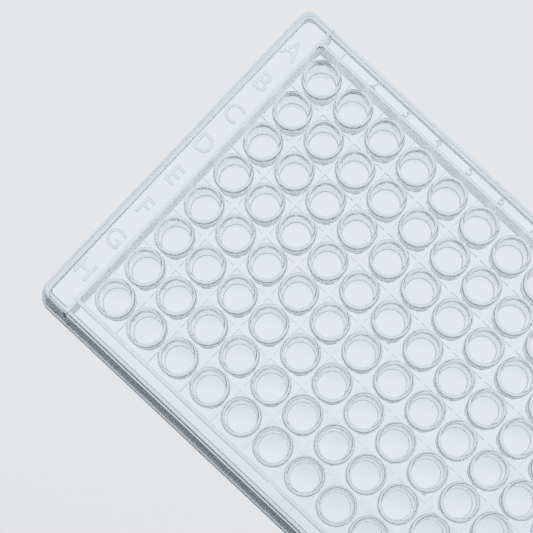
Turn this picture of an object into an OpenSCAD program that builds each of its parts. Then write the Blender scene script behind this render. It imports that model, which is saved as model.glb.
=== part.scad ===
// Ninety-six-well flat-bottom plate, one clear moulding.
// Eight rows (A to H) of twelve wells stand in a sunk deck inside a box-section frame.
// The frame is open underneath: an outer skirt with a base flange, an inner wall round the
// wells, and flat strips on top that carry the row letters and the column numbers.
// Frame of reference: +Z up, origin at the middle of the underside, row A on the +Y side,
// column 1 on the -X side.

/* [Footprint] */
// Length of the base flange, along the rows
plate_l = 127.76; // [126:0.02:134]
// Width of the base flange, along the columns
plate_w = 85.48; // [84:0.02:92]
// Height of the frame above the surface it stands on
plate_h = 14.35; // [13:0.05:22]
// Height of the base flange
flange_h = 2.5; // [1.5:0.1:4]
// Width of the ledge on top of the base flange
flange_ledge = 0.4; // [0.3:0.05:1.2]

/* [Skirt] */
// How far the skirt leans in between the flange and the frame top
skirt_lean = 1.5; // [0.2:0.05:1.6]
// Radius of the skirt's corners at the frame top
top_corner_r = 2.3; // [1.4:0.1:4]
// Thickness of every outside wall
wall_t = 1.2; // [0.8:0.05:1.2]
// How much thicker the skirt is at its foot than at its top
skirt_draft = 0.4; // [0:0.05:0.5]
// Size of the bevel along the frame's outer top edge
edge_bevel = 0.3; // [0.1:0.05:0.5]
// Depth of the rebate that sets the long sides back from the end blocks
rebate_d = 0.8; // [0.3:0.05:0.9]
// Height of that rebate
rebate_h = 1.3; // [0.6:0.1:3]

/* [Frame top] */
// Distance from the outer wells' centres to the edge of the sunk deck
deck_margin = 5.2; // [4.8:0.05:5.4]
// Depth of the deck below the frame top
deck_drop = 1.8; // [0.8:0.05:3]
// How far the sides of the sunk deck lean outwards
deck_side_lean = 0.1; // [0.1:0.05:0.6]
// Thickness of the deck and of the strips
roof_t = 1.2; // [0.8:0.05:1.6]
// Thickness of the inner wall round the wells
inner_wall_t = 0.8; // [0.6:0.05:1.2]
// Height of the inner wall's lower edge above the ground
inner_wall_z = 2.3; // [1:0.1:6]

/* [Wells] */
// Number of wells along a row
columns = 12; // [4:1:12]
// Number of rows
rows = 8; // [3:1:8]
// Distance between neighbouring wells, both ways
pitch = 9; // [8.3:0.05:9.05]
// Bore of a well at its mouth
mouth_d = 6.86; // [6:0.02:7.1]
// Bore of a well at its floor
floor_d = 6.35; // [5.6:0.05:6.8]
// Thickness of a well's wall at its mouth
rim_t = 0.67; // [0.5:0.01:0.8]
// Thickness of a well's wall at its foot
foot_t = 0.72; // [0.5:0.01:0.9]
// Height of the wells' undersides above the ground
well_foot_z = 2.35; // [1.5:0.05:5]
// Thickness of a well's floor
well_floor_t = 1.1; // [0.8:0.05:1.2]
// Width of the bevel round a well's mouth
mouth_bevel = 0.25; // [0.1:0.05:0.3]

/* [Webs] */
// Thickness of the webs that run between the wells
web_t = 1; // [1:0.05:1.3]
// How far the webs hang below the deck
web_drop = 1.3; // [0.5:0.1:1.3]

/* [Lettering] */
// Height of the row letters
letter_h = 3.9; // [2.5:0.1:5]
// Height of the column numbers
number_h = 2.2; // [1.4:0.1:2.6]
// Width of a letter's strokes
letter_stroke = 0.6; // [0.3:0.05:0.8]
// Width of a number's strokes
number_stroke = 0.36; // [0.2:0.02:0.5]
// How far the lettering stands up
relief = 0.15; // [0.1:0.05:0.3]
// Depth of the step that marks the corner by well A1
corner_step = 0.2; // [0.1:0.05:0.4]

/* [Hidden] */
$fn = 96;
// Overlap of solids that merge, and reach of cutters past a face
lap = 0.02;
reach = 1;

// Centres of the outermost wells
field_x = (columns - 1) * pitch / 2;
field_y = (rows - 1) * pitch / 2;
// Half sizes of the frame at its top and where the skirt meets the flange
inset_top = flange_ledge + skirt_lean;
top_hx = plate_l / 2 - inset_top;
top_hy = plate_w / 2 - inset_top;
// Centres of the corner cones, which the whole skirt shares
corner_cx = top_hx - top_corner_r;
corner_cy = top_hy - top_corner_r;
skirt_r = top_corner_r + skirt_lean;
flange_r = skirt_r + flange_ledge;
// Lean of the skirt for each millimetre of height
lean = skirt_lean / (plate_h - flange_h);
// Sunk deck
deck_z = plate_h - deck_drop;
deck_hx = field_x + deck_margin;
deck_hy = field_y + deck_margin;
// Inner faces of the inner wall, in line with the foot of the deck's sides
inner_hx = deck_hx - deck_side_lean;
inner_hy = deck_hy - deck_side_lean;
// Wells
well_floor_z = well_foot_z + well_floor_t;
well_od = mouth_d + 2 * rim_t;
foot_od = floor_d + 2 * foot_t;
web_z = deck_z - roof_t - web_drop;
// Lettering
letter_x = -(deck_hx + top_hx) / 2;
number_y = (deck_hy + top_hy - rebate_d) / 2;
corner_line_y = field_y + pitch / 2;
LETTERS = ["A", "B", "C", "D", "E", "F", "G", "H"];

function column_x(i) = (i - (columns - 1) / 2) * pitch;
function row_y(j) = ((rows - 1) / 2 - j) * pitch;
// Radius of the skirt's corners at a height z, less an inset, rounded to a thousandth so
// that the corners and the sides between them meet exactly
function corner_r(z, inset) = round(1000 * (skirt_r - lean * (z - flange_h) - inset)) / 1000;

// ---- Frame ---------------------------------------------------------------

// Block on the shared corner centres, whose corners are one profile of [radius, height]
// points turned about each centre; the same profile, moved out, gives its sides.
module profiled_block(profile) {
    low = profile[0][1];
    high = profile[len(profile) - 1][1];
    for (sx = [-1, 1], sy = [-1, 1])
        translate([sx * corner_cx, sy * corner_cy, 0])
            rotate_extrude()
                polygon(concat([[0, low]], profile, [[0, high]]));
    rotate([90, 0, 0])
        linear_extrude(2 * corner_cy, center = true)
            mirrored_outline(profile, corner_cx);
    rotate([90, 0, 90])
        linear_extrude(2 * corner_cx, center = true)
            mirrored_outline(profile, corner_cy);
}

// Section through two opposite sides, c out from the middle
module mirrored_outline(profile, c) {
    last = len(profile) - 1;
    right = [for (p = profile) [c + p[0], p[1]]];
    left = [for (k = [0 : last]) [-right[last - k][0], right[last - k][1]]];
    polygon(concat(right, left));
}

// Symmetric trapezium, half width h0 at height z0 and h1 at z1
module taper(h0, h1, z0, z1) {
    polygon([[-h0, z0], [h0, z0], [h1, z1], [-h1, z1]]);
}

// Outside of the frame: base flange, leaning skirt, bevelled top edge
module outside() {
    bevel_z = plate_h - edge_bevel;
    profiled_block([
        [flange_r, 0],
        [flange_r, flange_h],
        [skirt_r, flange_h],
        [corner_r(bevel_z, 0), bevel_z],
        [corner_r(bevel_z, edge_bevel), plate_h]
    ]);
}

// Hollow under the strips, which follows the skirt and the flange
module under_frame() {
    step_z = flange_h - wall_t;
    profiled_block([
        [flange_r - wall_t, -reach],
        [flange_r - wall_t, step_z],
        [corner_r(step_z, wall_t + skirt_draft), step_z],
        [corner_r(plate_h - roof_t, wall_t), plate_h - roof_t]
    ]);
}

// Sunk deck: a pan with leaning sides, mitred at its corners
module deck_pan() {
    up = plate_h + reach;
    flare = deck_side_lean * (deck_drop + reach) / deck_drop;
    intersection() {
        rotate([90, 0, 0])
            linear_extrude(plate_w, center = true)
                taper(inner_hx, inner_hx + flare, deck_z, up);
        rotate([90, 0, 90])
            linear_extrude(plate_l, center = true)
                taper(inner_hy, inner_hy + flare, deck_z, up);
    }
}

// Floor of the sunk deck, between the inner walls
module deck() {
    translate([-inner_hx - lap, -inner_hy - lap, deck_z - roof_t])
        cube([2 * (inner_hx + lap), 2 * (inner_hy + lap), roof_t]);
}

// Inner wall round the wells, with its two end walls carried on to the skirt
module inner_wall() {
    h = plate_h - roof_t / 2 - inner_wall_z;
    ring_x = inner_hx + inner_wall_t;
    ring_y = inner_hy + inner_wall_t;
    translate([0, 0, inner_wall_z])
        difference() {
            translate([-ring_x, -ring_y, 0])
                cube([2 * ring_x, 2 * ring_y, h]);
            translate([-inner_hx, -inner_hy, -reach])
                cube([2 * inner_hx, 2 * inner_hy, h + 2 * reach]);
        }
    for (s = [-1, 1])
        translate([s * (inner_hx + inner_wall_t / 2) - inner_wall_t / 2, -top_hy + wall_t / 2, inner_wall_z])
            cube([inner_wall_t, 2 * top_hy - wall_t, h]);
}

// Rebates that set the long sides back between the end blocks
module side_rebates() {
    face = top_hy + skirt_lean;
    for (s = [-1, 1])
        translate([-deck_hx, s > 0 ? top_hy - rebate_d : -face, plate_h - rebate_h])
            cube([2 * deck_hx, face - top_hy + rebate_d, rebate_h + reach]);
}

// Step that lowers the end block's corner by well A1
module corner_drop() {
    translate([-plate_l / 2, corner_line_y, plate_h - corner_step])
        cube([plate_l / 2 - deck_hx, plate_w, reach]);
}

// ---- Wells ---------------------------------------------------------------

// Outside of a well, still solid, which tapers with the bore
module cup() {
    translate([0, 0, well_foot_z])
        cylinder(d1 = foot_od, d2 = well_od, h = plate_h - well_foot_z);
}

// Tapered bore with a bevelled mouth
module bore() {
    flare = mouth_bevel + reach;
    rotate_extrude()
        polygon([
            [0, well_floor_z],
            [floor_d / 2, well_floor_z],
            [mouth_d / 2, plate_h - mouth_bevel],
            [mouth_d / 2 + flare, plate_h + reach],
            [0, plate_h + reach]
        ]);
}

module each_well() {
    for (i = [0 : columns - 1], j = [0 : rows - 1])
        translate([column_x(i), row_y(j), 0])
            children();
}

// Webs on the mid-lines, from the deck down, both ways
module webs() {
    h = deck_z - roof_t / 2 - web_z;
    for (i = [0 : columns - 2])
        translate([column_x(i) + pitch / 2 - web_t / 2, -inner_hy - lap, web_z])
            cube([web_t, 2 * (inner_hy + lap), h]);
    for (j = [0 : rows - 2])
        translate([-inner_hx - lap, row_y(j) - pitch / 2 - web_t / 2, web_z])
            cube([2 * (inner_hx + lap), web_t, h]);
}

// ---- Lettering -----------------------------------------------------------
// Each glyph is drawn one unit high and centred, from bars and arcs of stroke width t.

// Bar from point a to point b with round ends
module bar(a, b, t) {
    d = b - a;
    translate(a)
        rotate(atan2(d[1], d[0]))
            translate([0, -t / 2])
                square([norm(d), t]);
    for (p = [a, b])
        translate(p)
            circle(d = t, $fn = 24);
}

// Chain of bars
module bars(points, t) {
    for (k = [0 : len(points) - 2])
        bar(points[k], points[k + 1], t);
}

// Arc about c from angle a0, turning by sweep, as a ring cut by a sector
module arc(c, r, a0, sweep, t) {
    far = 2 * r + t;
    corner = [for (k = [0 : 4]) far * [cos(a0 + sweep * k / 4), sin(a0 + sweep * k / 4)]];
    translate(c) {
        intersection() {
            difference() {
                circle(r = r + t / 2, $fn = 48);
                circle(r = r - t / 2, $fn = 48);
            }
            polygon(concat([[0, 0]], corner));
        }
        for (a = [a0, a0 + sweep])
            translate(r * [cos(a), sin(a)])
                circle(d = t, $fn = 24);
    }
}

module letter(name, t) {
    w = 0.32;
    q = 0.25;
    if (name == "A") {
        bars([[-0.38, -0.5], [0, 0.5], [0.38, -0.5]], t);
        bar([-0.25, -0.16], [0.25, -0.16], t);
    }
    if (name == "B") {
        bars([[0.05, 0.5], [-w, 0.5], [-w, -0.5], [0.07, -0.5]], t);
        bar([-w, 0], [0.07, 0], t);
        arc([0.05, q], q, -90, 180, t);
        arc([0.07, -q], q, -90, 180, t);
    }
    if (name == "C") {
        arc([0, 0.16], 0.34, 30, 150, t);
        arc([0, -0.16], 0.34, 180, 150, t);
        bar([-0.34, 0.16], [-0.34, -0.16], t);
    }
    if (name == "D") {
        bars([[0, 0.5], [-w, 0.5], [-w, -0.5], [0, -0.5]], t);
        arc([0, 0.16], 0.34, 0, 90, t);
        arc([0, -0.16], 0.34, -90, 90, t);
        bar([0.34, 0.16], [0.34, -0.16], t);
    }
    if (name == "E") {
        bars([[w, 0.5], [-w, 0.5], [-w, -0.5], [w, -0.5]], t);
        bar([-w, 0], [0.2, 0], t);
    }
    if (name == "F") {
        bars([[w, 0.5], [-w, 0.5], [-w, -0.5]], t);
        bar([-w, 0], [0.2, 0], t);
    }
    if (name == "G") {
        arc([0, 0.16], 0.34, 30, 150, t);
        arc([0, -0.16], 0.34, 180, 180, t);
        bar([-0.34, 0.16], [-0.34, -0.16], t);
        bars([[0.34, -0.16], [0.34, -0.04], [0.04, -0.04]], t);
    }
    if (name == "H") {
        bar([-w, 0.5], [-w, -0.5], t);
        bar([w, 0.5], [w, -0.5], t);
        bar([-w, 0], [w, 0], t);
    }
}

module digit(n, t) {
    r = 0.25;
    if (n == 0) {
        arc([0, r], r, 0, 180, t);
        arc([0, -r], r, 180, 180, t);
        bar([-r, r], [-r, -r], t);
        bar([r, r], [r, -r], t);
    }
    if (n == 1)
        bars([[-0.18, 0.3], [0, 0.5], [0, -0.5]], t);
    if (n == 2) {
        arc([0, r], r, -40, 220, t);
        bars([[0.19, 0.09], [-r, -0.5], [r, -0.5]], t);
    }
    if (n == 3) {
        arc([0, r], r, -90, 240, t);
        arc([0, -r], r, -150, 240, t);
    }
    if (n == 4)
        bars([[0.12, -0.5], [0.12, 0.5], [-0.3, -0.18], [0.3, -0.18]], t);
    if (n == 5) {
        bars([[r, 0.5], [-0.2, 0.5], [-0.2, 0.06], [0, 0.06]], t);
        arc([0, -0.22], 0.28, -140, 230, t);
    }
    if (n == 6) {
        arc([0, -r], r, 0, 180, t);
        arc([0, -r], r, 180, 180, t);
        bars([[-r, -r], [-0.2, 0.14], [0.12, 0.5]], t);
    }
    if (n == 7)
        bars([[-r, 0.5], [r, 0.5], [-0.1, -0.5]], t);
    if (n == 8) {
        for (s = [-1, 1]) {
            arc([0, s * r], r, 0, 180, t);
            arc([0, s * r], r, 180, 180, t);
        }
    }
    if (n == 9) {
        arc([0, r], r, 0, 180, t);
        arc([0, r], r, 180, 180, t);
        bars([[r, r], [0.2, -0.14], [-0.12, -0.5]], t);
    }
}

module row_letters() {
    for (j = [0 : rows - 1])
        translate([letter_x, row_y(j), plate_h - lap])
            linear_extrude(relief + lap)
                scale(letter_h - letter_stroke)
                    letter(LETTERS[j], letter_stroke / (letter_h - letter_stroke));
}

// Column numbers; from ten on, two digits stand side by side
module column_numbers() {
    size = number_h - number_stroke;
    t = number_stroke / size;
    step = 0.42;
    for (i = [0 : columns - 1])
        translate([column_x(i), number_y, plate_h - lap])
            linear_extrude(relief + lap)
                scale(size)
                    if (i < 9)
                        digit(i + 1, t);
                    else {
                        translate([-step, 0])
                            digit(1, t);
                        translate([step, 0])
                            digit((i + 1) % 10, t);
                    }
}

// ---- The moulding --------------------------------------------------------

module plate() {
    color([0.86, 0.91, 0.96, 0.55])
        difference() {
            union() {
                difference() {
                    outside();
                    under_frame();
                    deck_pan();
                    side_rebates();
                    corner_drop();
                }
                deck();
                inner_wall();
                webs();
                each_well()
                    cup();
                row_letters();
                column_numbers();
            }
            each_well()
                bore();
        }
}

plate();
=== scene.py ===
"""Ninety-six-well plate of clear polystyrene, on a pale table in soft daylight.

The plate is one moulding. Its outside, its hollows and its wells are modelled as closed solids with
rounded edges, which are joined and cut like the halves of its mould, and it stands in the place of
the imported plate. Sizes are in millimetres until a mesh is finished; the scene is in metres.
"""

import logging
import math
from dataclasses import dataclass, field
from enum import Enum

import bmesh
import bpy
from mathutils import Matrix, Vector


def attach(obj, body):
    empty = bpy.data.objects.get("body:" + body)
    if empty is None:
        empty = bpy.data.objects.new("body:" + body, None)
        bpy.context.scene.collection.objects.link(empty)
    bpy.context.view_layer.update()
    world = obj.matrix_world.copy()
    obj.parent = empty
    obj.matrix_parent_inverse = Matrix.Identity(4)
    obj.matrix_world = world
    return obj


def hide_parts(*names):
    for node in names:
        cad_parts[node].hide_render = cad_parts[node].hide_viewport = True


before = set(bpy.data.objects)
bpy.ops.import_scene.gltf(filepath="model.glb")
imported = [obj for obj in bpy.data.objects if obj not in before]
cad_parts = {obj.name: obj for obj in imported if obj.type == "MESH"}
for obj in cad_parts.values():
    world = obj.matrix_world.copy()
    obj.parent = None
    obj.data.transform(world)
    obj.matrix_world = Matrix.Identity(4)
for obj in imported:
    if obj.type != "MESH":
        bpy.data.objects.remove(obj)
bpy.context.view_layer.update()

MM = 0.001
BODY = "root"
CAD_NODE = "plate"
LOG = logging.getLogger("well_plate")
# Points nearer than this are one point, in millimetres
MERGE = 0.001
# Surfaces that a ray may pass, and how often it may be thrown back inside the plastic
MAX_PASSES = 32
MAX_INNER_REFLECTIONS = 16
# With this blend, a Layer Weight node's Facing is 1 minus the cosine to the surface's normal
PLAIN_BLEND = 0.5

Profile = list[tuple[float, float]]


class Combine(Enum):
    """How one solid is joined to another."""

    ADD = "UNION"
    CUT = "DIFFERENCE"


# ---- Small helpers ---------------------------------------------------------------------------


def srgb(code: str) -> tuple[float, float, float, float]:
    """Turn an sRGB hex colour into linear RGBA.

    Args:
        code: Colour as "#RRGGBB".

    Returns:
        Linear red, green, blue and an alpha of 1.
    """
    parts = [int(code[k : k + 2], 16) / 255 for k in (1, 3, 5)]
    linear = [c / 12.92 if c <= 0.04045 else ((c + 0.055) / 1.055) ** 2.4 for c in parts]
    return (linear[0], linear[1], linear[2], 1.0)


def arc_points(centre: tuple[float, float], radius: float, start: float, end: float, steps: int) -> Profile:
    """Points along an arc of a profile.

    Args:
        centre: Centre of the arc, across and up.
        radius: Radius of the arc.
        start: Angle of the first point, in degrees.
        end: Angle of the last point, in degrees.
        steps: Number of straight steps that stand for the arc.

    Returns:
        The points from start to end.
    """
    turns = [math.radians(start + (end - start) * k / steps) for k in range(steps + 1)]
    return [(centre[0] + radius * math.cos(t), centre[1] + radius * math.sin(t)) for t in turns]


def closed(bm: bmesh.types.BMesh) -> bmesh.types.BMesh:
    """Merge a bmesh's doubles and point its faces outwards.

    Args:
        bm: The bmesh to clean.

    Returns:
        The same bmesh.
    """
    bmesh.ops.remove_doubles(bm, verts=bm.verts, dist=MERGE)
    bmesh.ops.recalc_face_normals(bm, faces=bm.faces)
    return bm


def add_node(
    tree: bpy.types.NodeTree, kind: str, settings: dict[str, object] | None = None, **inputs: object
) -> bpy.types.Node:
    """Add one node to a tree, with its settings, values and links.

    Args:
        tree: The node tree.
        kind: The node's type name.
        settings: Attributes of the node itself.
        **inputs: Input name, with underscores for spaces, or "i" and the input's number, to a value or to
            the socket that feeds it.

    Returns:
        The new node.
    """
    node = tree.nodes.new(kind)
    for name, value in (settings or {}).items():
        setattr(node, name, value)
    for name, value in inputs.items():
        key = int(name[1:]) if name[0] == "i" and name[1:].isdigit() else name.replace("_", " ")
        if isinstance(value, bpy.types.NodeSocket):
            tree.links.new(value, node.inputs[key])
        else:
            node.inputs[key].default_value = value
    return node


# ---- Solids ------------------------------------------------------------------------------------


@dataclass
class Solid:
    """A closed solid in millimetres that others are joined to or cut from.

    Attributes:
        name: What the solid is called.
        body: The object that holds its mesh.
    """

    name: str
    body: bpy.types.Object

    @classmethod
    def of(cls, name: str, bm: bmesh.types.BMesh) -> "Solid":
        """Make a solid of a bmesh, and free the bmesh.

        Args:
            name: What the solid is called.
            bm: A closed surface in millimetres.

        Returns:
            The solid.
        """
        bmesh.ops.triangulate(bm, faces=bm.faces, quad_method="BEAUTY", ngon_method="BEAUTY")
        mesh = bpy.data.meshes.new(name)
        bm.to_mesh(mesh)
        bm.free()
        body = bpy.data.objects.new(name, mesh)
        bpy.context.scene.collection.objects.link(body)
        return cls(name, body)

    def combine(self, tool: "Solid", how: Combine) -> "Solid":
        """Join a tool to this solid or cut it out, and use the tool up.

        Args:
            tool: The solid that is added or cut out.
            how: Whether it is added or cut out.

        Returns:
            This solid.
        """
        modifier = self.body.modifiers.new(how.name, "BOOLEAN")
        modifier.object = tool.body
        modifier.operation = how.value
        modifier.solver = "MANIFOLD"
        graph = bpy.context.evaluated_depsgraph_get()
        made = bpy.data.meshes.new_from_object(self.body.evaluated_get(graph))
        self.body.modifiers.clear()
        spent = [self.body.data, tool.body.data]
        self.body.data = made
        bpy.data.objects.remove(tool.body)
        for mesh in spent:
            bpy.data.meshes.remove(mesh)
        return self

    def add(self, tool: "Solid") -> "Solid":
        """Join a tool to this solid."""
        return self.combine(tool, Combine.ADD)

    def cut(self, tool: "Solid") -> "Solid":
        """Cut a tool out of this solid."""
        return self.combine(tool, Combine.CUT)


def block(size: Vector, middle: Vector) -> bmesh.types.BMesh:
    """A plain box.

    Args:
        size: Its length along each axis.
        middle: Its middle.

    Returns:
        The closed surface.
    """
    bm = bmesh.new()
    bmesh.ops.create_cube(bm, size=1.0)
    bmesh.ops.scale(bm, vec=size, verts=bm.verts)
    bmesh.ops.translate(bm, vec=middle, verts=bm.verts)
    return bm


def box_solid(name: str, low: Vector, high: Vector) -> Solid:
    """A plain box between two corners.

    Args:
        name: What the solid is called.
        low: Lowest corner.
        high: Highest corner.

    Returns:
        The box.
    """
    size = high - low
    return Solid.of(name, block(size, low + size / 2))


def turned(profile: Profile, steps: int) -> bmesh.types.BMesh:
    """Turn a profile, which starts and ends on the Z axis, all the way round.

    Args:
        profile: Points as radius and height.
        steps: Number of steps round.

    Returns:
        The closed surface.
    """
    bm = bmesh.new()
    verts = [bm.verts.new((r, 0.0, z)) for r, z in profile]
    edges = [bm.edges.new(pair) for pair in zip(verts, verts[1:])]
    bmesh.ops.spin(
        bm, geom=verts + edges, cent=(0, 0, 0), axis=(0, 0, 1), dvec=(0, 0, 0), angle=2 * math.pi,
        steps=steps, use_merge=True, use_duplicate=False,
    )
    return closed(bm)


def copies(bm: bmesh.types.BMesh, places: list[Vector]) -> bmesh.types.BMesh:
    """Repeat a shape at each of a list of places.

    Args:
        bm: The shape, which stands at the origin.
        places: Where each copy goes.

    Returns:
        The same bmesh, with one shape at each place.
    """
    first = list(bm.verts) + list(bm.edges) + list(bm.faces)
    for place in places[1:]:
        new = bmesh.ops.duplicate(bm, geom=first)["geom"]
        bmesh.ops.translate(bm, vec=place, verts=[g for g in new if isinstance(g, bmesh.types.BMVert)])
    bmesh.ops.translate(bm, vec=places[0], verts=[g for g in first if isinstance(g, bmesh.types.BMVert)])
    return bm


def rounded_block(profile: Profile, centre_x: float, centre_y: float, steps: int) -> bmesh.types.BMesh:
    """A block with four round corners, whose sides and corners share one profile.

    Args:
        profile: Points as distance out from a corner's centre, and height, from one cap to the other.
        centre_x: How far the corner centres stand from the middle, along X.
        centre_y: The same along Y.
        steps: Number of steps round each corner.

    Returns:
        The closed surface.
    """
    bm = bmesh.new()
    verts = [bm.verts.new((centre_x + r, 0.0, z)) for r, z in profile]
    line = [bm.edges.new(pair) for pair in zip(verts, verts[1:])]
    line = drawn_out(bm, line, Vector((0, centre_y, 0)))
    last = bmesh.ops.spin(
        bm, geom=ends_of(line) + line, cent=(centre_x, centre_y, 0), axis=(0, 0, 1), dvec=(0, 0, 0),
        angle=math.pi / 2, steps=steps, use_merge=False, use_duplicate=False,
    )["geom_last"]
    drawn_out(bm, [g for g in last if isinstance(g, bmesh.types.BMEdge)], Vector((-centre_x, 0, 0)))
    for axis in ("X", "Y"):
        whole = list(bm.verts) + list(bm.edges) + list(bm.faces)
        bmesh.ops.mirror(bm, geom=whole, matrix=Matrix.Identity(4), merge_dist=MERGE, axis=axis)
    bmesh.ops.remove_doubles(bm, verts=bm.verts, dist=MERGE)
    bmesh.ops.holes_fill(bm, edges=[e for e in bm.edges if e.is_boundary], sides=0)
    return closed(bm)


def ends_of(line: list[bmesh.types.BMEdge]) -> list[bmesh.types.BMVert]:
    """The vertices of some edges, each once."""
    return list(dict.fromkeys(v for e in line for v in e.verts))


def drawn_out(
    bm: bmesh.types.BMesh, line: list[bmesh.types.BMEdge], move: Vector
) -> list[bmesh.types.BMEdge]:
    """Extrude a line of edges and move the new line.

    Args:
        bm: The bmesh that holds the line.
        line: The edges to extrude.
        move: How far the new line goes.

    Returns:
        The new line's edges.
    """
    made = bmesh.ops.extrude_edge_only(bm, edges=line)["geom"]
    verts = {g for g in made if isinstance(g, bmesh.types.BMVert)}
    bmesh.ops.translate(bm, vec=move, verts=list(verts))
    return [e for e in bm.edges if e.verts[0] in verts and e.verts[1] in verts]


# ---- The plate ---------------------------------------------------------------------------------


@dataclass(frozen=True)
class PlateSizes:
    """Driving sizes of the plate, in millimetres.

    Heights are over the table unless they say otherwise.

    Attributes:
        length: Length over the base flange, along the rows.
        width: Width over the base flange.
        top: Height of the frame and of the well rims.
        flange_h: Height of the base flange.
        flange_ledge: How far the flange stands out from the skirt's foot.
        flange_draft: How far the flange's outside leans in over its height.
        skirt_lean: How far the skirt leans in, from the flange to the top.
        top_corner_r: Radius of the frame's corners at the top.
        wall: Thickness of the skirt at its top, and of the flange.
        skirt_draft: How much thicker the skirt is at its foot.
        rebate_d: How far the long sides are set back between the end blocks.
        rebate_h: How far down the rebate goes.
        deck_margin: From the outer wells' centres to the sides of the sunk deck.
        deck_drop: How far the deck is sunk.
        deck_side_lean: How far the deck's sides lean.
        deck_corner_r: Radius of the deck's corners.
        roof: Thickness of the top strips and of the deck.
        inner_wall: Thickness of the wall between the strips and the wells.
        inner_wall_z: Height of that wall's lower edge.
        columns: Number of wells along a row.
        rows: Number of rows.
        pitch: From one well's centre to the next.
        mouth_r: Radius of a well's mouth.
        floor_r: Radius of its floor.
        well_r: Outer radius at its rim.
        well_foot_r: Outer radius at its foot.
        foot_z: Height of its foot.
        well_floor: Thickness of its floor.
        web: Thickness of the webs between the wells.
        web_drop: How far the webs hang below the deck.
        edge_round: Rounding of the frame's upper edge.
        rim_round: Rounding of a well's rim.
        foot_round: Rounding of a well's foot.
        fillet: Rounding of the inner corners and of the flange's edges.
        pan_round: Rounding of the deck's foot and of its upper edge.
        corner_step: How much lower the corner by well A1 is.
        relief: How far the lettering is raised.
        letter_round: Rounding of the lettering's edges.
        letter_h: Height of a row letter.
        letter_shift: How far the letters stand in from the middle of their strip.
        number_h: Height of a column number.
        lap: How far a piece runs into the one it joins.
        reach: How far a cutter runs past what it cuts.
        corner_steps: Steps round each corner of the frame.
        well_steps: Steps round a well.
        edge_steps: Steps over the frame's upper edge.
        fillet_steps: Steps over a well's rim and over the frame's other roundings.
        well_fillet_steps: Steps over a well's foot and its fillets.
    """

    length: float = 127.76
    width: float = 85.48
    top: float = 14.35
    flange_h: float = 2.5
    flange_ledge: float = 0.4
    flange_draft: float = 0.25
    skirt_lean: float = 1.5
    top_corner_r: float = 2.3
    wall: float = 1.2
    skirt_draft: float = 0.4
    rebate_d: float = 0.8
    rebate_h: float = 1.3
    deck_margin: float = 5.2
    deck_drop: float = 1.8
    deck_side_lean: float = 0.0
    deck_corner_r: float = 0.9
    roof: float = 1.2
    inner_wall: float = 0.8
    inner_wall_z: float = 2.3
    columns: int = 12
    rows: int = 8
    pitch: float = 9.0
    mouth_r: float = 3.43
    floor_r: float = 3.175
    well_r: float = 4.1
    well_foot_r: float = 3.895
    foot_z: float = 2.35
    well_floor: float = 1.1
    web: float = 1.0
    web_drop: float = 1.3
    edge_round: float = 0.35
    rim_round: float = 0.1
    foot_round: float = 0.4
    fillet: float = 0.25
    pan_round: float = 0.04
    corner_step: float = 0.2
    relief: float = 0.15
    letter_round: float = 0.1
    letter_h: float = 4.1
    letter_shift: float = 0.2
    number_h: float = 2.2
    lap: float = 0.02
    reach: float = 1.0
    corner_steps: int = 8
    well_steps: int = 40
    edge_steps: int = 4
    fillet_steps: int = 3
    well_fillet_steps: int = 2

    @property
    def field_x(self) -> float:
        """Centre of the last column, from the middle."""
        return (self.columns - 1) * self.pitch / 2

    @property
    def field_y(self) -> float:
        """Centre of the first row, from the middle."""
        return (self.rows - 1) * self.pitch / 2

    @property
    def top_hx(self) -> float:
        """Half length of the frame's top."""
        return self.length / 2 - self.flange_ledge - self.skirt_lean

    @property
    def top_hy(self) -> float:
        """Half width of the frame's top."""
        return self.width / 2 - self.flange_ledge - self.skirt_lean

    @property
    def corner_x(self) -> float:
        """Centre of the frame's corners along X."""
        return self.top_hx - self.top_corner_r

    @property
    def corner_y(self) -> float:
        """Centre of the frame's corners along Y."""
        return self.top_hy - self.top_corner_r

    @property
    def deck_z(self) -> float:
        """Height of the sunk deck."""
        return self.top - self.deck_drop

    @property
    def web_z(self) -> float:
        """Height of the webs' lower edge."""
        return self.deck_z - self.roof - self.web_drop

    @property
    def deck_hx(self) -> float:
        """Half length of the sunk deck, at the frame's top."""
        return self.field_x + self.deck_margin

    @property
    def deck_hy(self) -> float:
        """Half width of the sunk deck, at the frame's top."""
        return self.field_y + self.deck_margin

    def skirt_r(self, z: float) -> float:
        """Corner radius of the skirt's outside at a height."""
        lean = self.skirt_lean / (self.top - self.flange_h)
        return self.top_corner_r + lean * (self.top - z)

    def places(self) -> list[Vector]:
        """The wells' centres, row by row from A1."""
        return [
            Vector((column * self.pitch - self.field_x, self.field_y - row * self.pitch, 0))
            for row in range(self.rows)
            for column in range(self.columns)
        ]


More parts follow.
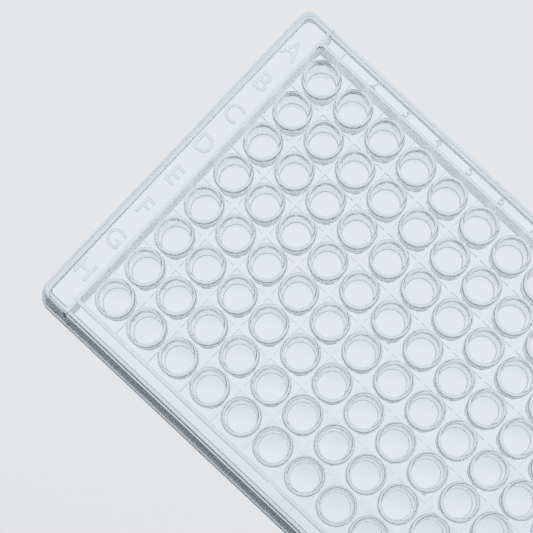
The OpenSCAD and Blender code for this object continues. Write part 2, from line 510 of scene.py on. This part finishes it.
@dataclass
class BoxFrame:
    """The frame round the wells: skirt, base flange, top strips, inner wall and sunk deck.

    Attributes:
        sizes: The plate's sizes.
    """

    sizes: PlateSizes

    def outside(self) -> Solid:
        """Outside of the frame, solid, with its edges rounded.

        Returns:
            The solid.
        """
        sizes = self.sizes
        fillet, edge, steps = sizes.fillet, sizes.edge_round, sizes.fillet_steps
        flange_r = sizes.skirt_r(sizes.flange_h) + sizes.flange_ledge
        lip_r = flange_r - sizes.flange_draft
        foot_r = sizes.skirt_r(sizes.flange_h + fillet)
        top_r = sizes.skirt_r(sizes.top - edge)
        profile = [
            *arc_points((flange_r - fillet, fillet), fillet, -90, 0, steps),
            *arc_points((lip_r - fillet, sizes.flange_h - fillet), fillet, 0, 90, steps),
            *arc_points((foot_r + fillet, sizes.flange_h + fillet), fillet, 270, 180, steps),
            *arc_points((top_r - edge, sizes.top - edge), edge, 0, 90, sizes.edge_steps),
        ]
        shell = rounded_block(profile, sizes.corner_x, sizes.corner_y, sizes.corner_steps)
        return Solid.of("outside", shell)

    def hollow(self) -> Solid:
        """Hollow under the strips, which follows the skirt and the flange.

        Returns:
            The solid to cut out.
        """
        sizes = self.sizes
        step_z = sizes.flange_h - sizes.wall
        roof_z = sizes.top - sizes.roof
        flange_r = sizes.skirt_r(sizes.flange_h) + sizes.flange_ledge - sizes.wall
        low_r = sizes.skirt_r(step_z) - sizes.wall - sizes.skirt_draft
        high_r = sizes.skirt_r(roof_z) - sizes.wall
        fillet = sizes.fillet
        profile = [
            (flange_r, -sizes.reach),
            (flange_r, step_z),
            (low_r, step_z),
            *arc_points((high_r - fillet, roof_z - fillet), fillet, 0, 90, sizes.fillet_steps),
        ]
        space = rounded_block(profile, sizes.corner_x, sizes.corner_y, sizes.corner_steps)
        return Solid.of("hollow", space)

    def core(self) -> Solid:
        """Block that becomes the inner wall and the deck.

        Returns:
            The solid.
        """
        sizes = self.sizes
        out = sizes.inner_wall - sizes.deck_side_lean
        low = Vector((-sizes.deck_hx - out, -sizes.deck_hy - out, sizes.inner_wall_z))
        high = Vector((sizes.deck_hx + out, sizes.deck_hy + out, sizes.top - sizes.roof / 2))
        return box_solid("core", low, high)

    def end_walls(self) -> Solid:
        """The core's end walls, carried on to the long skirts.

        Returns:
            The two walls as one solid.
        """
        sizes = self.sizes
        height = sizes.top - sizes.roof / 2 - sizes.inner_wall_z
        size = Vector((sizes.inner_wall, 2 * sizes.top_hy - sizes.wall, height))
        middle = sizes.deck_hx - sizes.deck_side_lean + sizes.inner_wall / 2
        bm = block(size, Vector((0, 0, sizes.inner_wall_z + size.z / 2)))
        return Solid.of("end_walls", copies(bm, [Vector((-middle, 0, 0)), Vector((middle, 0, 0))]))

    def under_deck(self) -> Solid:
        """Space under the deck, inside the inner wall.

        Returns:
            The solid to cut out.
        """
        sizes = self.sizes
        hx, hy = sizes.deck_hx - sizes.deck_side_lean, sizes.deck_hy - sizes.deck_side_lean
        low = Vector((-hx, -hy, -sizes.reach))
        high = Vector((hx, hy, sizes.deck_z - sizes.roof))
        return box_solid("under_deck", low, high)

    def pan(self) -> Solid:
        """Space over the deck, with a rounded foot and a rounded upper edge.

        Returns:
            The solid to cut out.
        """
        sizes = self.sizes
        edge, corner_r = sizes.pan_round, sizes.deck_corner_r
        high_r = corner_r + sizes.deck_side_lean
        profile = [
            *arc_points((corner_r - edge, sizes.deck_z + edge), edge, -90, 0, sizes.fillet_steps),
            *arc_points((high_r + edge, sizes.top - edge), edge, 180, 90, sizes.fillet_steps),
            (high_r + edge, sizes.top + sizes.reach),
        ]
        centre_x = sizes.deck_hx - sizes.deck_side_lean - corner_r
        centre_y = sizes.deck_hy - sizes.deck_side_lean - corner_r
        return Solid.of("pan", rounded_block(profile, centre_x, centre_y, sizes.corner_steps))

    def rebates(self) -> Solid:
        """Rebates that set the long sides back between the end blocks.

        Returns:
            The two rebates as one solid to cut out.
        """
        sizes = self.sizes
        depth = sizes.rebate_d + sizes.skirt_lean
        size = Vector((2 * sizes.deck_hx, depth, sizes.rebate_h + sizes.reach))
        middle = sizes.top_hy - sizes.rebate_d + depth / 2
        bm = block(size, Vector((0, 0, sizes.top - sizes.rebate_h + size.z / 2)))
        return Solid.of("rebates", copies(bm, [Vector((0, -middle, 0)), Vector((0, middle, 0))]))

    def marked_corner(self) -> Solid:
        """Step that lowers the end block's corner by well A1.

        Returns:
            The solid to cut out.
        """
        sizes = self.sizes
        low = Vector((-sizes.length / 2, sizes.field_y + sizes.pitch / 2, sizes.top - sizes.corner_step))
        high = Vector((-sizes.deck_hx, sizes.width / 2, sizes.top + sizes.reach))
        return box_solid("marked_corner", low, high)

    def build(self) -> Solid:
        """Build the frame with the deck, before the wells go in.

        Returns:
            The frame as one solid.
        """
        made = self.outside().cut(self.hollow())
        made.add(self.core()).add(self.end_walls())
        made.cut(self.under_deck()).cut(self.pan())
        return made.cut(self.rebates()).cut(self.marked_corner())


@dataclass
class WellField:
    """The wells and the webs that run between them.

    Attributes:
        sizes: The plate's sizes.
    """

    sizes: PlateSizes

    def cups(self) -> Solid:
        """Outsides of the wells, solid, with fillets where they pass the deck.

        Returns:
            The cups as one solid.
        """
        sizes = self.sizes
        fillet, rim, heel = sizes.fillet, sizes.rim_round, sizes.foot_round
        steps = sizes.well_fillet_steps
        under_z = sizes.deck_z - sizes.roof
        profile = [
            (0.0, sizes.foot_z),
            *arc_points((sizes.well_foot_r - heel, sizes.foot_z + heel), heel, -90, 0, steps),
            *arc_points((sizes.well_r + fillet, under_z - fillet), fillet, 180, 90, steps),
            *arc_points((sizes.well_r + fillet, sizes.deck_z + fillet), fillet, 270, 180, steps),
            *arc_points((sizes.well_r - rim, sizes.top - rim), rim, 0, 90, sizes.fillet_steps),
            (0.0, sizes.top),
        ]
        return Solid.of("cups", copies(turned(profile, sizes.well_steps), sizes.places()))

    def bores(self) -> Solid:
        """Bores of the wells, tapered, with rounded mouths and floors.

        Returns:
            The bores as one solid to cut out.
        """
        sizes = self.sizes
        fillet, rim, steps = sizes.fillet, sizes.rim_round, sizes.well_fillet_steps
        floor_z = sizes.foot_z + sizes.well_floor
        profile = [
            (0.0, floor_z),
            *arc_points((sizes.floor_r - fillet, floor_z + fillet), fillet, -90, 0, steps),
            *arc_points((sizes.mouth_r + rim, sizes.top - rim), rim, 180, 90, sizes.fillet_steps),
            (sizes.mouth_r + rim, sizes.top + sizes.reach),
            (0.0, sizes.top + sizes.reach),
        ]
        return Solid.of("bores", copies(turned(profile, sizes.well_steps), sizes.places()))

    def webs(self, along_x: bool) -> Solid:
        """Webs on the mid-lines between the wells, one way.

        Args:
            along_x: True for the webs that run along the rows.

        Returns:
            The webs as one solid.
        """
        sizes = self.sizes
        height = sizes.deck_z - sizes.roof / 2 - sizes.web_z
        across = 2 * ((sizes.deck_hx if along_x else sizes.deck_hy) - sizes.deck_side_lean + sizes.lap)
        size = Vector((across, sizes.web, height) if along_x else (sizes.web, across, height))
        count = (sizes.rows if along_x else sizes.columns) - 1
        places = [(k - (count - 1) / 2) * sizes.pitch for k in range(count)]
        moves = [Vector((0, p, 0)) if along_x else Vector((p, 0, 0)) for p in places]
        return Solid.of("webs", copies(block(size, Vector((0, 0, sizes.web_z + size.z / 2))), moves))

    def put_in(self, made: Solid) -> Solid:
        """Put the wells and webs into a frame.

        Args:
            made: The frame with its deck.

        Returns:
            The same solid, with its wells.
        """
        made.add(self.webs(True)).add(self.webs(False))
        return made.add(self.cups()).cut(self.bores())


@dataclass
class Lettering:
    """Raised row letters and column numbers on the top strips.

    Attributes:
        sizes: The plate's sizes.
        capital_share: Height of a capital as a share of the type size.
        outline_steps: Steps in each curved stretch of a letter's outline.
        edge_steps: Steps over a letter's rounded edge, as Blender counts them.
    """

    sizes: PlateSizes
    capital_share: float = 0.7
    outline_steps: int = 3
    edge_steps: int = 1

    def word(self, text: str, height: float, x: float, y: float) -> bpy.types.Object:
        """One word, raised, with its edges rounded over.

        Args:
            text: The letters.
            height: Height of a capital.
            x: Middle of the word along X.
            y: Middle of the word along Y.

        Returns:
            The word's object.
        """
        sizes = self.sizes
        straight = (sizes.relief - sizes.letter_round + sizes.lap) / 2
        curve = bpy.data.curves.new(text, "FONT")
        curve.body = text
        curve.size = height / self.capital_share
        curve.align_x, curve.align_y = "CENTER", "CENTER"
        curve.resolution_u = self.outline_steps
        curve.extrude = straight
        curve.bevel_depth = sizes.letter_round
        curve.bevel_resolution = self.edge_steps
        curve.offset = -sizes.letter_round
        item = bpy.data.objects.new(text, curve)
        bpy.context.scene.collection.objects.link(item)
        item.location = (x, y, sizes.top - sizes.lap + straight)
        bpy.context.view_layer.update()
        return item

    def build(self) -> Solid:
        """All letters and numbers as one solid."""
        sizes = self.sizes
        letter_x = -(sizes.deck_hx + sizes.top_hx) / 2 + sizes.letter_shift
        number_y = (sizes.deck_hy + sizes.top_hy - sizes.rebate_d) / 2
        items = []
        for row in range(sizes.rows):
            y = sizes.field_y - row * sizes.pitch
            items.append(self.word(chr(ord("A") + row), sizes.letter_h, letter_x, y))
        for column in range(sizes.columns):
            x = column * sizes.pitch - sizes.field_x
            items.append(self.word(str(column + 1), sizes.number_h, x, number_y))
        graph = bpy.context.evaluated_depsgraph_get()
        bm = bmesh.new()
        for item in items:
            mesh = bpy.data.meshes.new_from_object(item.evaluated_get(graph))
            mesh.transform(item.matrix_world)
            bm.from_mesh(mesh)
            bpy.data.meshes.remove(mesh)
            curve = item.data
            bpy.data.objects.remove(item)
            bpy.data.curves.remove(curve)
        return Solid.of("lettering", closed(bm))


@dataclass(frozen=True)
class ClearPolystyrene:
    """Crystal-clear polystyrene, injection moulded against polished steel.

    It is water-clear and glossy. Light that runs far inside it, along a wall or an edge, comes out a
    little darker and cooler. Its skin has the slow ripple of a thin moulding, and a little haze where
    it cooled last. The sides of the raised lettering are matt, and they pass a grey that is painted
    shade, so that each letter shows as a grey outline.

    Attributes:
        name: The material's name.
        colour: Colour that each surface passes.
        ior: Typical index of polystyrene.
        depth_colour: Colour that a long way through the plastic tends to.
        depth_density: How fast it gets there, per metre.
        ripple_mm: Length of one swell of the skin's ripple, in millimetres.
        ripple_depth_mm: Depth of the ripple, in millimetres.
        ripple_detail: Layers of finer swell on top of it.
        haze_mm: Size of the patches of haze, in millimetres.
        haze_detail: Layers of finer patches on top of them.
        haze_from: Where a patch starts, on the pattern's scale of 0 to 1.
        haze_full: Where it is haziest, on the same scale.
        gloss: Roughness where the skin is clearest.
        haze: Roughness where it is haziest.
        letter_side_low_mm: Height where the lettering's sides start, which are matt and pass a painted grey
            shade, in millimetres.
        letter_side_high_mm: Height where they end.
        letter_side_painted_shade: Grey that those sides pass, a painted shade that draws each letter's
            outline.
        cut_roughness: Roughness of those sides.
    """

    name: str = "clear_polystyrene"
    colour: str = "#F9FDFF"
    ior: float = 1.59
    depth_colour: str = "#D8DFE6"
    depth_density: float = 30.0
    ripple_mm: float = 5.0
    ripple_depth_mm: float = 0.004
    ripple_detail: float = 1.0
    haze_mm: float = 14.0
    haze_detail: float = 3.0
    haze_from: float = 0.4
    haze_full: float = 0.7
    gloss: float = 0.01
    haze: float = 0.035
    letter_side_low_mm: float = 14.36
    letter_side_high_mm: float = 14.49
    letter_side_painted_shade: str = "#A3ADB8"
    cut_roughness: float = 0.5

    def material(self) -> bpy.types.Material:
        """Build the material.

        Returns:
            The material.
        """
        material = bpy.data.materials.new(self.name)
        material.use_nodes = True
        tree = material.node_tree
        tree.nodes.clear()
        place = add_node(tree, "ShaderNodeTexCoord").outputs["Object"]
        swell = add_node(
            tree, "ShaderNodeTexNoise",
            Vector=place, Scale=1 / (self.ripple_mm * MM), Detail=self.ripple_detail,
        ).outputs["Fac"]
        ripple = add_node(
            tree, "ShaderNodeBump", Height=swell, Distance=self.ripple_depth_mm * MM
        ).outputs["Normal"]
        patches = add_node(
            tree, "ShaderNodeTexNoise",
            Vector=place, Scale=1 / (self.haze_mm * MM), Detail=self.haze_detail,
        ).outputs["Fac"]
        roughness = add_node(
            tree, "ShaderNodeMapRange", Value=patches, From_Min=self.haze_from, From_Max=self.haze_full,
            To_Min=self.gloss, To_Max=self.haze,
        ).outputs["Result"]
        # The lettering's sides are made matt, and they pass a grey that is painted shade, so that each
        # letter shows a dark outline.
        height = add_node(tree, "ShaderNodeSeparateXYZ", Vector=place).outputs["Z"]
        middle = (self.letter_side_low_mm + self.letter_side_high_mm) / 2
        half = (self.letter_side_high_mm - self.letter_side_low_mm) / 2
        cut = add_node(
            tree, "ShaderNodeMath", {"operation": "COMPARE"}, i0=height, i1=middle * MM, i2=half * MM
        ).outputs[0]
        roughness = add_node(
            tree, "ShaderNodeMix", {"data_type": "FLOAT"}, i0=cut, i2=roughness, i3=self.cut_roughness
        ).outputs[0]
        # The grey on the lettering's sides is painted shade.
        clear, shade_grey = srgb(self.colour), srgb(self.letter_side_painted_shade)
        colour = add_node(
            tree, "ShaderNodeMix", {"data_type": "RGBA"}, i0=cut, i6=clear, i7=shade_grey
        ).outputs[2]
        skin = add_node(
            tree, "ShaderNodeBsdfPrincipled", Base_Color=colour, Roughness=roughness,
            IOR=self.ior, Transmission_Weight=1.0, Normal=ripple,
        ).outputs["BSDF"]
        depth = add_node(
            tree, "ShaderNodeVolumeAbsorption", Color=srgb(self.depth_colour), Density=self.depth_density
        ).outputs["Volume"]
        add_node(tree, "ShaderNodeOutputMaterial", Surface=skin, Volume=depth)
        return material


@dataclass
class WellPlate:
    """The whole plate, as one moulding.

    Attributes:
        sizes: The plate's sizes.
        finish: What it is moulded in.
        smooth_below: Edges that bend less than this are shaded smooth, in degrees.
    """

    sizes: PlateSizes
    finish: ClearPolystyrene = field(default_factory=ClearPolystyrene)
    smooth_below: float = 32.0

    def build(self) -> bpy.types.Object:
        """Model the plate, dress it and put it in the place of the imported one.

        Returns:
            The plate's object, in metres.
        """
        made = BoxFrame(self.sizes).build()
        LOG.info("frame: %d faces", len(made.body.data.polygons))
        made = WellField(self.sizes).put_in(made)
        LOG.info("with wells: %d faces", len(made.body.data.polygons))
        made.add(Lettering(self.sizes).build())
        plate = made.body
        plate.name = plate.data.name = "moulded_plate"
        plate.data.transform(Matrix.Scale(MM, 4))
        self.shade(plate)
        plate.data.materials.clear()
        plate.data.materials.append(self.finish.material())
        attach(plate, BODY)
        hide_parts(CAD_NODE)
        return plate

    def shade(self, plate: bpy.types.Object) -> None:
        """Shade the curved walls smooth and keep the flats flat.

        Args:
            plate: The plate's object.
        """
        plate.data.polygons.foreach_set("use_smooth", [True] * len(plate.data.polygons))
        plate.data.set_sharp_from_angle(angle=math.radians(self.smooth_below))
        weigh = plate.modifiers.new("flats", "WEIGHTED_NORMAL")
        weigh.keep_sharp = True
        graph = bpy.context.evaluated_depsgraph_get()
        mesh = bpy.data.meshes.new_from_object(plate.evaluated_get(graph))
        plate.modifiers.clear()
        plate.data = mesh


# ---- Table, light and camera -------------------------------------------------------------------


@dataclass(frozen=True)
class SatinLaminate:
    """Pale satin laminate, pressed against a finely matted plate.

    It is pale and even where it is seen steeply, and a soft mirror of the room's sides where light
    meets it low.

    Attributes:
        name: The material's name.
        colour: Its colour as it is seen.
        satin: Colour of its satin reflection.
        roughness: Roughness of that reflection.
        even_share: Share of its look, seen directly, that is even and that no shadow dims.
        even_through: The same share where it is seen through the plastic.
        even_mirrored: The same share where the plastic mirrors it.
        sheen_from: How low a ray meets it where its sheen starts to take over, 0 upright to 1 level.
        sheen_full: The same where nothing else is left.
    """

    name: str = "satin_laminate"
    colour: str = "#E6E7EB"
    satin: str = "#DCDDE0"
    roughness: float = 0.25
    even_share: float = 0.95
    even_through: float = 0.9
    even_mirrored: float = 0.12
    sheen_from: float = 0.35
    sheen_full: float = 0.55

    def material(self) -> bpy.types.Material:
        """Build the material.

        Returns:
            The material.
        """
        material = bpy.data.materials.new(self.name)
        material.use_nodes = True
        tree = material.node_tree
        tree.nodes.clear()
        rays = add_node(tree, "ShaderNodeLightPath").outputs
        low = add_node(tree, "ShaderNodeLayerWeight", Blend=PLAIN_BLEND).outputs["Facing"]
        steep = add_node(
            tree, "ShaderNodeMapRange", {"interpolation_type": "SMOOTHSTEP"},
            Value=low, From_Min=self.sheen_from, From_Max=self.sheen_full, To_Min=1.0, To_Max=0.0,
        ).outputs["Result"]
        even = 0.0
        shares = {"Is Transmission Ray": self.even_through, "Is Glossy Ray": self.even_mirrored}
        for kind, share in shares.items():
            even = add_node(
                tree, "ShaderNodeMath", {"operation": "MULTIPLY_ADD"}, i0=rays[kind], i1=share, i2=even
            ).outputs[0]
        even = add_node(tree, "ShaderNodeMath", {"operation": "MULTIPLY"}, i0=even, i1=steep).outputs[0]
        seen = rays["Is Camera Ray"]
        even = add_node(
            tree, "ShaderNodeMath", {"operation": "MULTIPLY_ADD"}, i0=seen, i1=self.even_share, i2=even
        ).outputs[0]
        lit = add_node(
            tree, "ShaderNodeBsdfAnisotropic", Color=srgb(self.satin), Roughness=self.roughness
        ).outputs["BSDF"]
        pale = add_node(
            tree, "ShaderNodeEmission", Color=srgb(self.colour), Strength=1.0
        ).outputs["Emission"]
        shader = add_node(tree, "ShaderNodeMixShader", i0=even, i1=lit, i2=pale).outputs["Shader"]
        add_node(tree, "ShaderNodeOutputMaterial", Surface=shader)
        return material


@dataclass
class Table:
    """The plain table that the plate stands on.

    Attributes:
        finish: What it is faced with.
        half_size: Half its side, in millimetres.
        clearance: Gap that keeps it off the plate's underside, in millimetres.
    """

    finish: SatinLaminate = field(default_factory=SatinLaminate)
    half_size: float = 1500.0
    clearance: float = 0.05

    def build(self) -> bpy.types.Object:
        """Lay the table.

        Returns:
            The table's object.
        """
        bm = bmesh.new()
        bmesh.ops.create_grid(bm, x_segments=1, y_segments=1, size=self.half_size * MM)
        bmesh.ops.translate(bm, vec=(0, 0, -self.clearance * MM), verts=bm.verts)
        mesh = bpy.data.meshes.new("table")
        bm.to_mesh(mesh)
        bm.free()
        table = bpy.data.objects.new("table", mesh)
        bpy.context.scene.collection.objects.link(table)
        mesh.materials.append(self.finish.material())
        return table


@dataclass
class Daylight:
    """Soft light from behind row A and a little to column 1's side, fading overhead to a dim far side.

    Attributes:
        towards: Level direction of the bright side.
        bright: Strength of the bright side.
        bright_colour: Colour of the bright side.
        dim: Strength of the far side.
        dim_until: Where the dim side ends, as the cosine to the bright side.
        bright_from: Where the bright side starts, as the same cosine.
        dim_colour: Colour of the far side.
        backdrop: Colour of the room behind the table, seen directly.
    """

    towards: Vector = field(default_factory=lambda: Vector((-0.45, 0.89, 0.0)))
    bright: float = 1.1
    bright_colour: str = "#FFFFFF"
    dim: float = 0.05
    dim_until: float = -0.1
    bright_from: float = 0.08
    dim_colour: str = "#7FA8E6"
    backdrop: str = "#E6E7EB"

    def build(self) -> None:
        """Set up the world."""
        world = bpy.data.worlds.new("daylight")
        bpy.context.scene.world = world
        world.use_nodes = True
        tree = world.node_tree
        tree.nodes.clear()
        way = add_node(tree, "ShaderNodeTexCoord").outputs["Generated"]
        along = add_node(
            tree, "ShaderNodeVectorMath", {"operation": "DOT_PRODUCT"}, i0=way, i1=self.towards.normalized()
        ).outputs["Value"]
        side = add_node(
            tree, "ShaderNodeMapRange", {"interpolation_type": "SMOOTHSTEP"},
            Value=along, From_Min=self.dim_until, From_Max=self.bright_from, To_Min=0.0, To_Max=1.0,
        ).outputs["Result"]
        strength = add_node(
            tree, "ShaderNodeMix", {"data_type": "FLOAT"}, i0=side, i2=self.dim, i3=self.bright
        ).outputs[0]
        dim_colour, bright_colour = srgb(self.dim_colour), srgb(self.bright_colour)
        colour = add_node(
            tree, "ShaderNodeMix", {"data_type": "RGBA"}, i0=side, i6=dim_colour, i7=bright_colour
        ).outputs[2]
        light = add_node(
            tree, "ShaderNodeBackground", Color=colour, Strength=strength
        ).outputs["Background"]
        wall = add_node(tree, "ShaderNodeBackground", Color=srgb(self.backdrop)).outputs["Background"]
        seen = add_node(tree, "ShaderNodeLightPath").outputs["Is Camera Ray"]
        shader = add_node(tree, "ShaderNodeMixShader", i0=seen, i1=light, i2=wall).outputs["Shader"]
        add_node(tree, "ShaderNodeOutputWorld", Surface=shader)


@dataclass
class View:
    """Camera high over the long side by row H, looking almost straight down at well E3.

    Attributes:
        eye: Where the camera stands, in millimetres.
        target: What it looks at, in millimetres.
        roll: How far it is turned about its own axis, in degrees.
        lens: Focal length, in millimetres.
        sensor: Width of the sensor, in millimetres.
        near: Where its view starts, in metres.
        far: Where its view ends, in metres.
    """

    eye: Vector = field(default_factory=lambda: Vector((15.57, -46.02, 596.08)))
    target: Vector = field(default_factory=lambda: Vector((-31.125, -5.029, 12.5)))
    roll: float = -43.289
    lens: float = 190.1
    sensor: float = 36.0
    near: float = 0.01
    far: float = 10.0

    def build(self) -> bpy.types.Object:
        """Set up the camera.

        Returns:
            The camera's object.
        """
        data = bpy.data.cameras.new("camera")
        data.lens = self.lens
        data.sensor_width = self.sensor
        data.clip_start, data.clip_end = self.near, self.far
        camera = bpy.data.objects.new("camera", data)
        bpy.context.scene.collection.objects.link(camera)
        ahead = (self.target - self.eye).normalized()
        up = (Vector((0, 1, 0)) - ahead * ahead.y).normalized()
        right = ahead.cross(up)
        turn = math.radians(self.roll)
        up_turned = up * math.cos(turn) + right * math.sin(turn)
        right_turned = ahead.cross(up_turned)
        axes = Matrix((right_turned, up_turned, -ahead)).transposed()
        camera.matrix_world = Matrix.Translation(self.eye * MM) @ axes.to_4x4()
        bpy.context.scene.camera = camera
        return camera


def let_light_through(scene: bpy.types.Scene) -> None:
    """Let light pass the plate's many walls, and keep what it sends on sharp.

    Args:
        scene: The scene whose light paths are set.
    """
    scene.cycles.max_bounces = MAX_PASSES
    scene.cycles.transmission_bounces = MAX_PASSES
    scene.cycles.glossy_bounces = MAX_INNER_REFLECTIONS
    scene.cycles.blur_glossy = 0.0


def main() -> None:
    """Build the plate, its table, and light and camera."""
    logging.basicConfig(level=logging.INFO, format="%(name)s: %(message)s")
    bpy.context.scene.view_settings.view_transform = "Standard"
    let_light_through(bpy.context.scene)
    View().build()
    Daylight().build()
    Table().build()
    plate = WellPlate(PlateSizes()).build()
    LOG.info("%s: %d triangles", plate.name, len(plate.data.loop_triangles) or len(plate.data.polygons))


if __name__ == "__main__":
    main()
